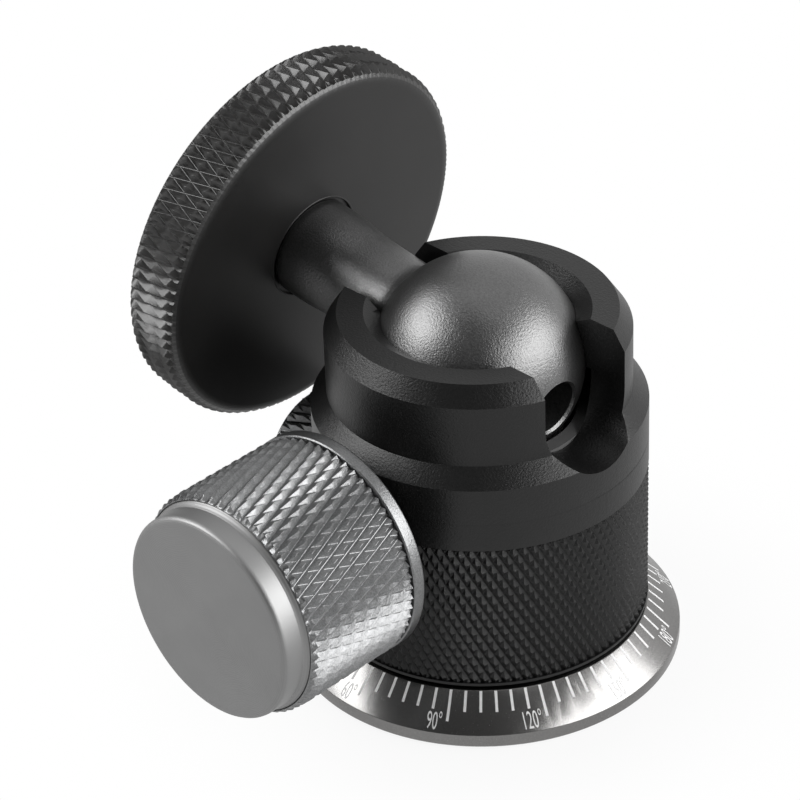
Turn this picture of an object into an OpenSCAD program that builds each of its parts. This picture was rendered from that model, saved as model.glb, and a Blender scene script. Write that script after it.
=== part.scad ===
// Tripod ball head: a slotted socket on a panning base, locked by one large knob and one small one.
// Millimetres, +Z up. The origin is the centre of the base's underside, on the pan axis.
// At rest the neck lies in the slot on the -X side, the lock knob points along -Y.

/* [Base] */
// Radius of the base dial
base_r = 25; // [23:0.5:28]
// Height of the dial's upright edge
base_edge_h = 2; // [1.2:0.1:2.8]
// Height of the dial's flat top
base_h = 5.9; // [4.9:0.1:6.4]
// Small chamfer at the foot of the dial
base_foot = 0.4; // [0.2:0.1:0.8]
// Radius of the tripod thread, 3/8 inch
tripod_thread_r = 4.76; // [3.1:0.01:4.76]
// Wall of the steel thread bush
thread_bush_wall = 1.14; // [1:0.01:1.3]
// Height of the thread bush
thread_bush_h = 12; // [9:0.5:15]

/* [Pan bearing] */
// Radius of the spindle's neck
spindle_neck_r = 10.5; // [10.5:0.1:10.9]
// Radius of the spindle's flange, which the brake shoe presses on
spindle_flange_r = 12.6; // [12.4:0.1:13]
// Thickness of the spindle's flange
spindle_flange_h = 5; // [4:0.1:5.2]
// Height of the bearing ring
bearing_h = 5.5; // [4.8:0.1:5.8]
// Thickness of the slip washers
slip_washer_h = 0.45; // [0.3:0.05:0.6]
// Distance of the spindle screws from the axis
spindle_screw_pcd_r = 8.2; // [8.1:0.05:8.3]
// Radius of a spindle screw's shank
spindle_screw_r = 1.25; // [1:0.05:1.3]
// Radius of a spindle screw's head
spindle_screw_head_r = 2.15; // [2:0.05:2.2]
// Length of a spindle screw
spindle_screw_l = 9; // [7:0.5:11]

/* [Housing] */
// Radius of the barrel
barrel_r = 20.9; // [20.5:0.1:22]
// Depth of the fine knurl, left out of the solid
fine_knurl_h = 0.3; // [0.2:0.05:0.4]
// Height of the plain skirt under the knurl
skirt_h = 0.7; // [0.5:0.1:1.5]
// Height at which the knurl ends
knurl_top_z = 26.6; // [25.4:0.1:27.4]
// Height at which the barrel's shoulder begins
barrel_top_z = 35.5; // [35.1:0.1:36]
// Height of the barrel's sloping shoulder
shoulder_h = 2.25; // [1.5:0.05:2.6]
// Radius of the socket
socket_r = 18.9; // [18.5:0.1:19.5]
// Height of the chamfer around the socket's top
socket_chamfer_h = 2.45; // [1.5:0.05:2.8]
// Radius of the socket's flat top
socket_top_r = 17.25; // [16.8:0.05:17.8]
// Height of the socket's flat top above the ball's centre
socket_top_h = 7.15; // [6.8:0.05:7.4]
// Radius of the socket's mouth at its flat top
mouth_r = 13.95; // [13.6:0.05:14.5]
// Radius at which the mouth's slope meets the ball seat
mouth_rim_r = 11.9; // [11.6:0.05:12.3]
// Radius of the bore that the ball is put in through
bore_r = 14; // [13.9:0.05:14.3]
// Width of the two neck slots
slot_w = 14.2; // [13.9:0.1:14.8]
// Depth of the flat seats for the two bushes
bush_seat_d = 0.6; // [0.4:0.1:0.8]

/* [Ball and neck] */
// Radius of the ball
ball_r = 13.2; // [13.1:0.02:13.24]
// Height of the ball's centre
ball_z = 41.1; // [40.9:0.1:41.5]
// Angle of the neck above level at rest
rest_tilt = 9.5; // [9:0.5:12]
// Radius of the neck at its waist
neck_waist_r = 6.05; // [5.6:0.05:6.2]
// Widening of the neck at the ball
neck_flare = 0.4; // [0.2:0.05:0.45]
// Radius of the neck where it meets the platform
neck_end_r = 6.5; // [6.2:0.05:6.8]
// Radius of the hole opposite the neck
key_hole_r = 3.5; // [3.3:0.1:3.8]
// Chamfer around that hole
key_hole_chamfer = 0.6; // [0.3:0.1:0.8]
// Depth of that hole past the ball's centre
key_hole_depth = 13.5; // [11:0.5:15]
// Radius of the neck's threaded spigot
spigot_r = 5; // [4.6:0.1:5.4]
// Length of the neck's threaded spigot
spigot_l = 3.4; // [2.5:0.1:4]

/* [Platform] */
// Radius over the platform's knurl
platform_r = 25; // [24:0.1:26]
// Distance from the ball's centre to the platform's underside
platform_reach = 28.5; // [28.4:0.1:30]
// Thickness of the platform
platform_t = 8.6; // [7.5:0.1:9.5]
// Radius of the platform's flat faces, inside the sloping edges
platform_face_r = 23.2; // [22.6:0.1:23.6]
// Height of the platform's sloping edges
platform_edge_h = 0.5; // [0.3:0.1:0.8]
// Width of the rims at both ends of the platform's knurl
platform_lip = 0.3; // [0.2:0.1:0.5]
// Mean depth of the platform's knurl, to which the solid is cut back
platform_knurl_h = 0.35; // [0.2:0.05:0.5]
// Radius of the recess that takes the neck's end
neck_recess_r = 7.2; // [7:0.1:8]
// Depth of that recess
neck_recess_d = 0.8; // [0.5:0.1:1.2]
// Radius of the rubber pad
pad_r = 22; // [20:0.5:23]
// Thickness of the rubber pad
pad_t = 1.2; // [0.8:0.1:1.6]
// How far the pad stands out of the platform
pad_proud = 0.6; // [0.3:0.1:0.8]
// Radius of the camera thread, 1/4 inch
camera_thread_r = 3.175; // [2.5:0.005:3.175]
// Radius of the stud's shank and of the jam screw, M6
stud_shank_r = 3; // [2.5:0.05:3]
// How far the camera stud stands out of the pad
camera_stud_out = 5.3; // [4.5:0.1:6]
// Length of the camera stud
camera_stud_l = 24; // [20:0.5:26]
// Length of the jam screw behind the stud
jam_screw_l = 5; // [4:0.5:5.5]

/* [Lock knob] */
// Height of the lock screw's axis
lock_z = 27.1; // [26.8:0.1:27.1]
// Radius over the lock knob's knurl
lock_knob_r = 14.5; // [13:0.1:16]
// Distance from the barrel to the knob's inner face
lock_knob_off = 4.1; // [4:0.1:5]
// Width of the plain ring on the knob's inner side
lock_knob_ring = 2.1; // [1.5:0.1:3]
// Depth of the knob's coarse knurl, left out of the solid
coarse_knurl_h = 0.5; // [0.3:0.05:0.7]
// Length of the knob without its cap
lock_knob_l = 18.7; // [17:0.1:21]
// Radius of the knob's cap
lock_cap_r = 13.2; // [12:0.1:13.4]
// Height of the knob's cap
lock_cap_h = 3; // [2:0.1:4]
// Rounding of the cap's edge
lock_cap_round = 0.8; // [0.4:0.1:1.2]
// Radius of the lock screw, M6
lock_screw_r = 3; // [2.5:0.05:3]
// Radius of the lock screw's collar
lock_collar_r = 4.3; // [3.9:0.1:4.4]
// Thickness of the lock screw's collar
lock_collar_h = 1.5; // [1:0.1:1.7]
// Radius of the lock bush in the wall
lock_bush_r = 5; // [4.8:0.1:5.2]
// Radius of the lock bush's flange
lock_flange_r = 7.4; // [7:0.1:7.6]
// Thickness of the ring that holds the collar in the bush
lock_retainer_t = 1.1; // [0.8:0.1:1.2]
// How far the lock screw reaches into the knob
lock_shank_l = 10.9; // [9:0.1:12]

/* [Wedge and cup] */
// Slope of the wedge
wedge_angle = 12; // [8:1:13]
// Travel of the wedge from locked to free
wedge_travel = 1; // [0.5:0.1:1]
// Thickness of the wedge on the pan axis
wedge_mid_h = 3.5; // [3.3:0.1:3.8]
// Half width of the lug that the lock screw threads into
lug_half_w = 5.5; // [4.5:0.1:6]
// Thickness of that lug
lug_t = 2.5; // [2:0.1:2.7]
// Thickness of the slip liner under the ball
liner_t = 0.45; // [0.3:0.05:0.5]
// Half angle that the liner covers, from straight down
liner_half_angle = 50; // [40:1:52]
// Thickness of the cup under the ball
cup_floor_t = 3.05; // [2.8:0.05:3.2]
// Height of the cup's rim below the ball's centre
cup_rim_drop = 6.6; // [6.4:0.1:8]
// Thickness of the plate under the wedge
support_t = 3; // [2:0.1:3.1]

/* [Pan knob] */
// Radius over the pan knob's knurl
pan_knob_r = 8.8; // [7.5:0.1:8.9]
// Distance from the barrel to the pan knob's inner face
pan_knob_off = 1; // [0.9:0.1:1.4]
// Length of the pan knob
pan_knob_l = 8.5; // [8:0.1:8.7]
// Radius of the pan screw, M5
pan_screw_r = 2.5; // [2:0.05:2.5]
// Radius of the pan bush in the wall
pan_bush_r = 4; // [3.7:0.1:4.4]
// Radius of the pan bush's flange
pan_flange_r = 5.6; // [5:0.1:6]
// How far the pan bush's flange stands out of its seat
pan_flange_t = 1; // [0.8:0.1:1.2]
// How far the pan screw reaches into its knob
pan_shank_l = 5.1; // [4:0.1:6]
// How far the brake shoe reaches past the bore into its bush
shoe_reach = 1.5; // [0.8:0.1:2]

/* [Clearances] */
// Radial clearance of running and sliding fits
run_fit = 0.05; // [0.02:0.01:0.08]
// Radial clearance of pieces fixed in each other
fixed_fit = 0.02; // [0.01:0.01:0.03]
// Gap between turning pieces that don't touch
gap = 0.3; // [0.2:0.05:0.4]

/* [Hidden] */
$fn = 96;
over = 1;             // how far a cutting shape runs past what it cuts

// Colours
black = [0.09, 0.09, 0.1];
grey_ball = [0.36, 0.36, 0.38];
grey_knob = [0.55, 0.55, 0.57];
grey_dial = [0.66, 0.66, 0.67];
steel = [0.6, 0.6, 0.62];
brass = [0.78, 0.62, 0.3];
plastic = [0.88, 0.88, 0.84];
rubber = [0.14, 0.14, 0.14];

// Base and pan bearing, from the bottom up
dial_top_r = barrel_r + run_fit;
thread_bush_r = tripod_thread_r + thread_bush_wall;
bearing_z = base_h + slip_washer_h + run_fit;
flange_z = bearing_z + bearing_h + slip_washer_h + 2 * run_fit;
flange_top_z = flange_z + spindle_flange_h;
skirt_z = base_h + gap;
screw_head_h = spindle_screw_head_r - spindle_screw_r;
screw_sink = 0.2;
spindle_key = 1.5;    // across the flats, as for the other keys
spindle_key_d = 0.8;
drill_point = 0.5;    // how far a drilled hole runs past its screw
screw_gap = 0.2;      // between two screws in one hole

// Wedge, cup and liner, from the top down
seat_r = ball_r + run_fit;
liner_r = seat_r + liner_t;
cup_seat_r = liner_r + run_fit;
cup_r = bore_r - 2 * run_fit;
cup_rim_z = ball_z - cup_rim_drop;
support_top_z = ball_z - cup_seat_r - cup_floor_t - wedge_mid_h;
support_z = support_top_z - support_t;
wedge_z = support_top_z + run_fit;
wedge_mid_z = support_top_z + wedge_mid_h;
wedge_front = 11.5;   // the wedge's thin end, from the pan axis
lug_out = cup_r - wedge_travel;
lug_in = lug_out - lug_t;
lug_top_z = ball_z - sqrt(pow(cup_seat_r, 2) - pow(lug_in, 2)) - gap;
notch_gap = 0.6;

// Housing
socket_top_z = ball_z + socket_top_h;
rim_z = ball_z + sqrt(pow(seat_r, 2) - pow(mouth_rim_r, 2));
bush_seat = barrel_r - bush_seat_d;
bush_inset = 0.2;     // how far the bushes stop short of the bore
skirt_edge = 0.3;
knurl_lip = 0.2;
spanner_pcd_r = 9;    // the two spanner holes in the support plate
spanner_hole_r = 1.1;
pan_z = flange_z + spindle_flange_h / 2;

// Lock knob, measured outwards from the pan axis
lock_knob_start = barrel_r + lock_knob_off;
lock_tip = lug_in + 0.25;
lock_point = 0.5;     // chamfer of the lock screw's point
lock_well = bush_seat + 0.9;       // bottom of the collar's recess
collar_out = lock_well + run_fit + lock_collar_h;
retainer_in = collar_out + run_fit;
bush_out = retainer_in + lock_retainer_t;
lock_knob_end = lock_knob_start + lock_knob_l;
lock_shaft_end = lock_knob_start + lock_shank_l;
lock_head_r = 2.75;
lock_head_h = 2.2;
lock_key = 2.5;
lock_key_floor = 0.9; // thickness left under the key socket
lock_washer_in = 0.4; // how far the slip washer lies inside the flange's edge
knob_in_edge = 0.4;
knob_out_edge_l = 0.7;
knob_out_edge_r = 0.9;
knob_washer_t = 0.6;
knob_well_r = 4;
knob_screw_r = 1.5;
knob_screw_l = 6.5;
cap_step_h = 0.3;
cap_step_in = 0.6;
head_room = 1.2;      // between the screw's head and the cap's plug
cap_plug_at = lock_shaft_end + knob_washer_t + lock_head_h + head_room;

// Pan knob, measured outwards from the pan axis
pan_knob_start = barrel_r + pan_knob_off;
shoe_r = pan_screw_r - 0.2;        // slides in the pan screw's bore
shoe_in = spindle_flange_r + run_fit;
shoe_out = bore_r + shoe_reach;
pan_screw_in = shoe_out + run_fit;
pan_knob_end = pan_knob_start + pan_knob_l;
pan_screw_out = pan_knob_start + pan_shank_l;
pan_plug_r = 6.4;
pan_plug_h = 1.2;
pan_in_edge = 0.3;
pan_out_edge = 0.6;

// Neck, stud and platform, measured along the neck from the ball's centre
neck_l = platform_reach + neck_recess_d;
platform_end = platform_reach + platform_t;
pad_out = platform_end + pad_proud;
neck_flare_l = 1.8;   // lengths of the flare, of flare and waist, and of the plain end
neck_waist_l = 8;
neck_straight_l = 3;
neck_edge = 0.4;
stud_out = pad_out + camera_stud_out;
stud_in = stud_out - camera_stud_l;
jam_out = stud_in - screw_gap;
stud_key = 3;
stud_key_d = 2.5;
stud_edge = 0.6;

module on_neck() translate([0, 0, ball_z]) rotate([0, rest_tilt - 90, 0]) children();
module on_lock_axis() translate([0, 0, lock_z]) rotate([90, 0, 0]) children();
module on_pan_axis() translate([0, 0, pan_z]) rotate([0, -90, 0]) children();

// A round bar or ring that runs from one height to another
module bar(r, from, to) translate([0, 0, from]) cylinder(h = to - from, r = r);

module ring(r_out, r_in, from, to) {
    difference() {
        bar(r_out, from, to);
        bar(r_in, from - over, to + over);
    }
}

// A hexagonal key socket
module hex_socket(flats, from, to) {
    translate([0, 0, from]) cylinder(h = to - from, r = flats / sqrt(3), $fn = 6);
}

// Places one copy at each spindle screw
module each_spindle_screw() {
    for (turn = [0:120:240]) rotate(turn) translate([spindle_screw_pcd_r, 0, 0]) children();
}

// Everything above the wedge's sloping top, with a gap of lift
module above_wedge(lift) {
    rise = tan(wedge_angle) * 2 * bore_r;
    rotate([90, 0, 90]) linear_extrude(4 * bore_r, center = true)
        polygon([[-2 * bore_r, wedge_mid_z + lift + rise], [2 * bore_r, wedge_mid_z + lift - rise],
                 [2 * bore_r, ball_z + bore_r], [-2 * bore_r, ball_z + bore_r]]);
}

// ---- Base ----

module base_dial() {
    color(grey_dial) difference() {
        rotate_extrude()
            polygon([[thread_bush_r + fixed_fit, 0], [base_r - base_foot, 0], [base_r, base_foot],
                     [base_r, base_edge_h], [dial_top_r, base_h], [thread_bush_r + fixed_fit, base_h]]);
        each_spindle_screw() {
            bar(spindle_screw_r + fixed_fit, -over, base_h + over);
            bar(spindle_screw_head_r + fixed_fit, -over, screw_sink);
            translate([0, 0, screw_sink])
                cylinder(h = screw_head_h, r1 = spindle_screw_head_r + fixed_fit,
                         r2 = spindle_screw_r + fixed_fit);
        }
    }
}

module thread_bush() {
    color(steel) ring(thread_bush_r, tripod_thread_r, 0, thread_bush_h);
}

module pan_spindle() {
    color(steel) difference() {
        union() {
            bar(spindle_neck_r, base_h, flange_z);
            bar(spindle_flange_r, flange_z, flange_top_z);
        }
        bar(thread_bush_r + fixed_fit, base_h - over, flange_top_z + over);
        each_spindle_screw() bar(spindle_screw_r + fixed_fit, base_h - over, spindle_screw_l + drill_point);
    }
}

module spindle_screws() {
    color(steel) each_spindle_screw() difference() {
        union() {
            translate([0, 0, screw_sink])
                cylinder(h = screw_head_h, r1 = spindle_screw_head_r, r2 = spindle_screw_r);
            bar(spindle_screw_r, screw_sink + screw_head_h, spindle_screw_l);
        }
        hex_socket(spindle_key, screw_sink - over, screw_sink + spindle_key_d);
    }
}

module pan_washer_lower() {
    color(plastic) ring(cup_r, spindle_neck_r + run_fit, base_h, base_h + slip_washer_h);
}

module pan_washer_upper() {
    washer_z = bearing_z + bearing_h + run_fit;
    color(plastic) ring(spindle_flange_r, spindle_neck_r + run_fit, washer_z, washer_z + slip_washer_h);
}

// ---- Housing ----

module barrel_outline() {
    polygon([[0, skirt_z], [barrel_r - skirt_edge, skirt_z],
             [barrel_r, skirt_z + skirt_edge],
             [barrel_r, skirt_z + skirt_h], [barrel_r - fine_knurl_h, skirt_z + skirt_h],
             [barrel_r - fine_knurl_h, knurl_top_z], [barrel_r, knurl_top_z + knurl_lip],
             [barrel_r, barrel_top_z], [socket_r, barrel_top_z + shoulder_h],
             [socket_r, socket_top_z - socket_chamfer_h], [socket_top_r, socket_top_z],
             [0, socket_top_z]]);
}

module mouth() {
    steep = (mouth_r - mouth_rim_r) / (socket_top_z - rim_z);
    translate([0, 0, rim_z])
        cylinder(h = socket_top_z - rim_z + over, r1 = mouth_rim_r, r2 = mouth_r + steep * over);
}

module neck_slots() {
    rotate([90, 0, 90]) linear_extrude(2 * (barrel_r + over), center = true) {
        translate([0, ball_z]) circle(d = slot_w);
        translate([-slot_w / 2, ball_z]) square([slot_w, socket_top_h + over]);
    }
}

module housing() {
    color(black) difference() {
        rotate_extrude() barrel_outline();
        bar(bore_r, skirt_z - over, ball_z);
        translate([0, 0, ball_z]) sphere(r = seat_r);
        mouth();
        neck_slots();
        on_lock_axis() {
            bar(lock_bush_r + fixed_fit, bore_r - 2 * over, barrel_r + over);
            bar(lock_flange_r + fixed_fit, bush_seat, barrel_r + over);
        }
        on_pan_axis() {
            bar(pan_bush_r + fixed_fit, bore_r - 2 * over, barrel_r + over);
            bar(pan_flange_r + fixed_fit, bush_seat, barrel_r + over);
        }
    }
}

module pan_bearing_ring() {
    color(brass) ring(bore_r - fixed_fit, spindle_neck_r + run_fit, bearing_z, bearing_z + bearing_h);
}

module support_plate() {
    color(steel) difference() {
        bar(bore_r - fixed_fit, support_z, support_top_z);
        for (side = [-1, 1]) translate([side * spanner_pcd_r, 0, 0])
            bar(spanner_hole_r, support_z - over, support_z + support_t / 2);
    }
}

module lock_bush() {
    color(brass) on_lock_axis() difference() {
        union() {
            bar(lock_bush_r, bore_r + bush_inset, bush_seat);
            bar(lock_flange_r, bush_seat, bush_out);
        }
        bar(lock_screw_r + run_fit, bore_r - over, bush_out + over);
        bar(lock_collar_r + gap, lock_well, bush_out + over);
    }
}

module lock_retainer() {
    color(steel) on_lock_axis()
        ring(lock_collar_r + gap - fixed_fit, lock_screw_r + run_fit, retainer_in, bush_out);
}

module lock_washer() {
    color(plastic) on_lock_axis()
        ring(lock_flange_r - lock_washer_in, lock_screw_r + run_fit, bush_out,
             lock_knob_start - 2 * run_fit);
}

// ---- Main lock ----

module lock_screw() {
    color(steel) on_lock_axis() difference() {
        union() {
            translate([0, 0, lock_tip])
                cylinder(h = lock_point, r1 = lock_screw_r - lock_point, r2 = lock_screw_r);
            bar(lock_screw_r, lock_tip + lock_point, lock_shaft_end);
            bar(lock_collar_r, lock_well + run_fit, collar_out);
        }
        bar(knob_screw_r + fixed_fit, lock_shaft_end - knob_screw_l - drill_point, lock_shaft_end + over);
    }
}

module lock_knob() {
    ring_end = lock_knob_start + lock_knob_ring;
    knurl_root_r = lock_knob_r - coarse_knurl_h;
    color(grey_knob) on_lock_axis() difference() {
        rotate_extrude()
            polygon([[0, lock_knob_start], [lock_knob_r - knob_in_edge, lock_knob_start],
                     [lock_knob_r, lock_knob_start + knob_in_edge], [lock_knob_r, ring_end],
                     [knurl_root_r, ring_end], [knurl_root_r, lock_knob_end - knob_out_edge_l],
                     [lock_knob_r - knob_out_edge_r, lock_knob_end], [0, lock_knob_end]]);
        bar(lock_screw_r + fixed_fit, lock_knob_start - over, lock_shaft_end + over);
        bar(knob_well_r, lock_shaft_end, lock_knob_end + over);
    }
}

module lock_knob_washer() {
    color(steel) on_lock_axis()
        ring(knob_well_r - 0.3, knob_screw_r + fixed_fit, lock_shaft_end, lock_shaft_end + knob_washer_t);
}

module lock_knob_screw() {
    head_z = lock_shaft_end + knob_washer_t;
    color(steel) on_lock_axis() difference() {
        union() {
            bar(knob_screw_r, lock_shaft_end - knob_screw_l, head_z);
            bar(lock_head_r, head_z, head_z + lock_head_h);
        }
        hex_socket(lock_key, head_z + lock_key_floor, head_z + lock_head_h + over);
    }
}

module lock_knob_cap() {
    face = lock_knob_end + lock_cap_h + cap_step_h;
    flat_r = lock_cap_r - lock_cap_round;
    color(grey_knob) on_lock_axis() rotate_extrude() {
        translate([0, lock_knob_end]) square([lock_cap_r - cap_step_in, cap_step_h]);
        translate([0, lock_knob_end + cap_step_h]) square([lock_cap_r, lock_cap_h - lock_cap_round]);
        translate([0, lock_knob_end]) square([flat_r, face - lock_knob_end]);
        intersection() {
            translate([flat_r, face - lock_cap_round]) circle(r = lock_cap_round);
            translate([0, lock_knob_end]) square([base_r, lock_knob_l]);
        }
        translate([0, cap_plug_at]) square([knob_well_r - fixed_fit, lock_knob_end - cap_plug_at]);
    }
}

module lock_wedge() {
    color(steel) difference() {
        intersection() {
            bar(cup_r, wedge_z, lug_top_z);
            translate([0, wedge_travel, 0]) bar(cup_r, wedge_z, lug_top_z);
            union() {
                difference() {
                    translate([-bore_r, -bore_r, wedge_z])
                        cube([2 * bore_r, bore_r + wedge_front, lug_top_z - wedge_z]);
                    above_wedge(0);
                }
                translate([-lug_half_w, -bore_r, wedge_z])
                    cube([2 * lug_half_w, bore_r - lug_in, lug_top_z - wedge_z]);
            }
        }
        on_lock_axis() bar(lock_screw_r + run_fit, lug_in - over, bore_r + over);
    }
}

module ball_cup() {
    color(plastic) difference() {
        intersection() {
            bar(cup_r, support_top_z, cup_rim_z);
            above_wedge(run_fit);
        }
        translate([0, 0, ball_z]) sphere(r = cup_seat_r);
        translate([-lug_half_w - notch_gap, -2 * bore_r, support_z])
            cube([2 * (lug_half_w + notch_gap), 2 * bore_r - lug_in + notch_gap, 2 * bore_r]);
    }
}

module ball_liner() {
    color(rubber) translate([0, 0, ball_z]) difference() {
        sphere(r = liner_r);
        sphere(r = seat_r);
        bar(2 * ball_r, -liner_r * cos(liner_half_angle), 2 * ball_r);
    }
}

// ---- Ball and platform ----

module neck() {
    foot_r = neck_waist_r + neck_flare;
    foot = sqrt(pow(ball_r, 2) - pow(foot_r, 2));
    rotate_extrude()
        polygon([[0, 0], [foot_r, foot], [neck_waist_r, foot + neck_flare_l],
                 [neck_waist_r, foot + neck_waist_l], [neck_end_r, neck_l - neck_straight_l],
                 [neck_end_r, neck_l - neck_edge], [neck_end_r - neck_edge, neck_l],
                 [spigot_r, neck_l], [spigot_r, neck_l + spigot_l], [0, neck_l + spigot_l]]);
}

module ball() {
    mouth_at = sqrt(pow(ball_r, 2) - pow(key_hole_r + key_hole_chamfer, 2));
    color(grey_ball) on_neck() difference() {
        union() {
            sphere(r = ball_r);
            neck();
        }
        bar(key_hole_r, -ball_r - over, key_hole_depth);
        bar(key_hole_r + key_hole_chamfer, -ball_r - over, -mouth_at);
        translate([0, 0, -mouth_at])
            cylinder(h = key_hole_chamfer, r1 = key_hole_r + key_hole_chamfer, r2 = key_hole_r);
        bar(stud_shank_r + run_fit, 0, neck_l + spigot_l + over);
    }
}

module platform() {
    knurl_from = platform_reach + platform_edge_h + platform_lip;
    knurl_to = platform_end - platform_edge_h - platform_lip;
    color(black) on_neck() difference() {
        rotate_extrude()
            polygon([[0, platform_reach], [platform_face_r, platform_reach],
                     [platform_r, knurl_from - platform_lip], [platform_r, knurl_from],
                     [platform_r - platform_knurl_h, knurl_from],
                     [platform_r - platform_knurl_h, knurl_to], [platform_r, knurl_to],
                     [platform_r, knurl_to + platform_lip], [platform_face_r, platform_end],
                     [0, platform_end]]);
        bar(neck_recess_r, platform_reach - over, platform_reach + neck_recess_d);
        bar(spigot_r + run_fit, platform_reach, neck_l + spigot_l + gap);
        bar(stud_shank_r + fixed_fit, platform_reach, platform_end + over);
        bar(pad_r + fixed_fit, pad_out - pad_t, platform_end + over);
    }
}

module platform_pad() {
    color(rubber) on_neck() ring(pad_r, camera_thread_r + gap, pad_out - pad_t, pad_out);
}

module camera_stud() {
    color(steel) on_neck() difference() {
        union() {
            bar(stud_shank_r, stud_in, pad_out);
            bar(camera_thread_r, pad_out, stud_out - stud_edge);
            translate([0, 0, stud_out - stud_edge])
                cylinder(h = stud_edge, r1 = camera_thread_r, r2 = camera_thread_r - stud_edge);
        }
        hex_socket(stud_key, stud_in - over, stud_in + stud_key_d);
    }
}

module stud_jam_screw() {
    jam_in = jam_out - jam_screw_l;
    color(steel) on_neck() difference() {
        bar(stud_shank_r, jam_in, jam_out);
        hex_socket(stud_key, jam_in - over, jam_in + stud_key_d);
    }
}

// ---- Pan lock ----

module pan_bush() {
    color(brass) on_pan_axis() difference() {
        union() {
            bar(pan_bush_r, bore_r + bush_inset, bush_seat);
            bar(pan_flange_r, bush_seat, bush_seat + pan_flange_t);
        }
        bar(pan_screw_r + run_fit, bore_r - over, bush_seat + pan_flange_t + over);
    }
}

module pan_screw() {
    color(steel) on_pan_axis() bar(pan_screw_r, pan_screw_in, pan_screw_out);
}

module pan_knob() {
    color(grey_knob) on_pan_axis() difference() {
        rotate_extrude()
            polygon([[0, pan_knob_start], [pan_knob_r - pan_in_edge, pan_knob_start],
                     [pan_knob_r, pan_knob_start + pan_in_edge],
                     [pan_knob_r, pan_knob_end - pan_out_edge],
                     [pan_knob_r - pan_out_edge, pan_knob_end], [0, pan_knob_end]]);
        bar(pan_screw_r + fixed_fit, pan_knob_start - over, pan_screw_out);
        bar(pan_plug_r + fixed_fit, pan_knob_end - pan_plug_h, pan_knob_end + over);
    }
}

module pan_knob_cap() {
    color(grey_knob) on_pan_axis() bar(pan_plug_r, pan_knob_end - pan_plug_h, pan_knob_end);
}

module pan_brake_shoe() {
    color(brass) difference() {
        on_pan_axis() bar(shoe_r, spindle_neck_r, shoe_out);
        bar(shoe_in, flange_z - over, flange_top_z + over);
    }
}

base_dial();
thread_bush();
pan_spindle();
spindle_screws();
pan_washer_lower();
pan_washer_upper();
housing();
pan_bearing_ring();
support_plate();
lock_bush();
lock_retainer();
lock_washer();
lock_screw();
lock_knob();
lock_knob_washer();
lock_knob_screw();
lock_knob_cap();
lock_wedge();
ball_cup();
ball_liner();
ball();
platform();
platform_pad();
camera_stud();
stud_jam_screw();
pan_bush();
pan_screw();
pan_knob();
pan_knob_cap();
pan_brake_shoe();
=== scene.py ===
import bpy
import bmesh
import math
from mathutils import Matrix, Vector


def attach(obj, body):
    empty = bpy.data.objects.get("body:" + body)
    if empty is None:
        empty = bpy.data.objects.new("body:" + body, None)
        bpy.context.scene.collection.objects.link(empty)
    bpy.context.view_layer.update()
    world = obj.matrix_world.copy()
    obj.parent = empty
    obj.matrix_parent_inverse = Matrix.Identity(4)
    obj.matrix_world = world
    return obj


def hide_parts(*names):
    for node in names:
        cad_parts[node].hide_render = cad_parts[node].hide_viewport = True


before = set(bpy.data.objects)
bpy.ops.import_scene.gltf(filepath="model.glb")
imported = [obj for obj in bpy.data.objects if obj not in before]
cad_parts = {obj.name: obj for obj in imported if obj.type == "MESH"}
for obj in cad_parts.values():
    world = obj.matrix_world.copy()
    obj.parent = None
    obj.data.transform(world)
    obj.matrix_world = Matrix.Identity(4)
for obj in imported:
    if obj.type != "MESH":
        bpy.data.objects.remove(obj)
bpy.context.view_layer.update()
print("frame loaded:", len(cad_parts), "nodes")

mm = 0.001

# distances in millimetres that count as nothing when cutting, welding and finding a face
cutSlack = 1e-5
fineWeld = 1e-4
weld = 1e-3
near = 0.02

# faces that meet at more than the first angle shade apart; below the second they are one face
sharpAngle = math.radians(28)
flatAngle = math.radians(0.6)

# where the turned pieces stand: each is shaped along its own +Z, in millimetres
layout = {
    "ballHeight": 41.1,
    "restTilt": 9.5,
    "lockHeight": 27.1,
    "panHeight": 14.95,
}


def axisPlace(height, rotation, axis):
    return Matrix.Translation((0, 0, height * mm)) @ Matrix.Rotation(math.radians(rotation), 4, axis)


upright = Matrix.Identity(4)
lockPlace = axisPlace(layout["lockHeight"], 90, "X")
panPlace = axisPlace(layout["panHeight"], -90, "Y")
neckPlace = axisPlace(layout["ballHeight"], layout["restTilt"] - 90, "Y")


# Starts a material whose patterns lie about the axis of a place
def startMaterial(name, place=upright):
    material = bpy.data.materials.new(name)
    material.use_nodes = True
    tree = material.node_tree
    shader = tree.nodes["Principled BSDF"]
    coordinates = tree.nodes.new("ShaderNodeTexCoord")
    mapping = tree.nodes.new("ShaderNodeMapping")
    mapping.vector_type = "TEXTURE"
    mapping.inputs["Location"].default_value = place.to_translation()
    mapping.inputs["Rotation"].default_value = place.to_euler()
    tree.links.new(coordinates.outputs["Object"], mapping.inputs["Vector"])
    return material, tree, shader, mapping.outputs["Vector"]


# the cloudy noise has more fine layers than the grain, and blasted grain has stronger ones
cloudDetail = 3
blastRoughness = 0.6


def addNoise(tree, vector, size, detail=2, roughness=0.5):
    noise = tree.nodes.new("ShaderNodeTexNoise")
    noise.inputs["Scale"].default_value = 1 / (size * mm)
    noise.inputs["Detail"].default_value = detail
    noise.inputs["Roughness"].default_value = roughness
    tree.links.new(vector, noise.inputs["Vector"])
    return noise.outputs["Fac"]


# the wave texture's phase runs on by 20 radians for each unit of length
waveRate = 20


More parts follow.
